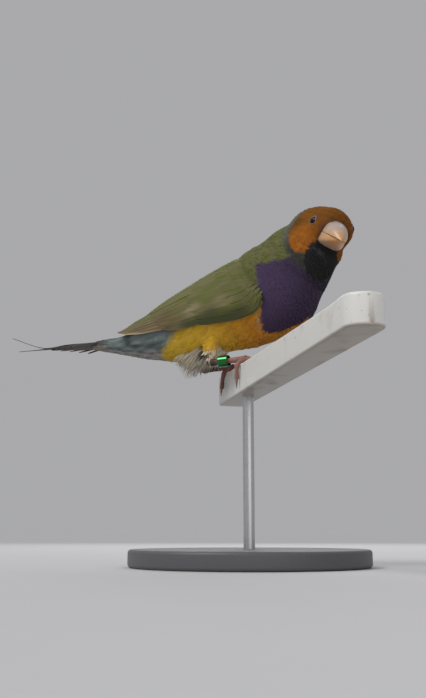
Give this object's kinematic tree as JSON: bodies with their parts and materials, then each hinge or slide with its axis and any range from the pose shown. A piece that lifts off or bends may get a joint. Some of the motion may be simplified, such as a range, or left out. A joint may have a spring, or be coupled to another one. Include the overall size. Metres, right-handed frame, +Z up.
{
  "type": "gouldian finch",
  "caption": "Life-size still model of a small green, yellow and purple finch crouched on a short white perch bar, held by a rod on a round display base.",
  "frame": {"origin": "middle of the round base's underside, on the floor", "axes": "+X the way the bird's body faces, +Y its left, +Z up"},
  "size_m": [0.181, 0.129, 0.1256],
  "materials": {
    "mask": "short ochre-orange feathers",
    "chest": "soft dark purple feathers",
    "belly": "soft golden yellow feathers",
    "coverts": "soft grey-blue and white feathers",
    "wing": "olive green vanes, satin",
    "tail": "black vanes, satin",
    "bill": "ivory horn, satin",
    "eye": "dark brown, wet gloss",
    "leg_skin": "pink scaled skin",
    "claw": "translucent brown horn",
    "ring": "anodised green, glossy",
    "perch_plastic": "moulded white, slightly soiled",
    "stand": "satin dark grey",
    "rod": "brushed"
  },
  "bodies": {
    "root": {"bill_lower": "bill", "bill_upper": "bill", "claw_left_hallux": "claw", "claw_left_inner": "claw", "claw_left_middle": "claw", "claw_left_outer": "claw", "claw_right_hallux": "claw", "claw_right_inner": "claw", "claw_right_middle": "claw", "claw_right_outer": "claw", "eye_left": "eye", "eye_right": "eye", "head": "mask", "leg_left": "leg_skin", "leg_right": "leg_skin", "leg_ring": "ring", "neck": "chest", "perch": "perch_plastic", "rump": "coverts", "stand_base": "stand", "stand_rod": "rod", "tail": "tail", "thigh_left": "belly", "thigh_right": "belly", "torso": "belly", "wing_left": "wing", "wing_right": "wing"}
  },
  "joints": []
}
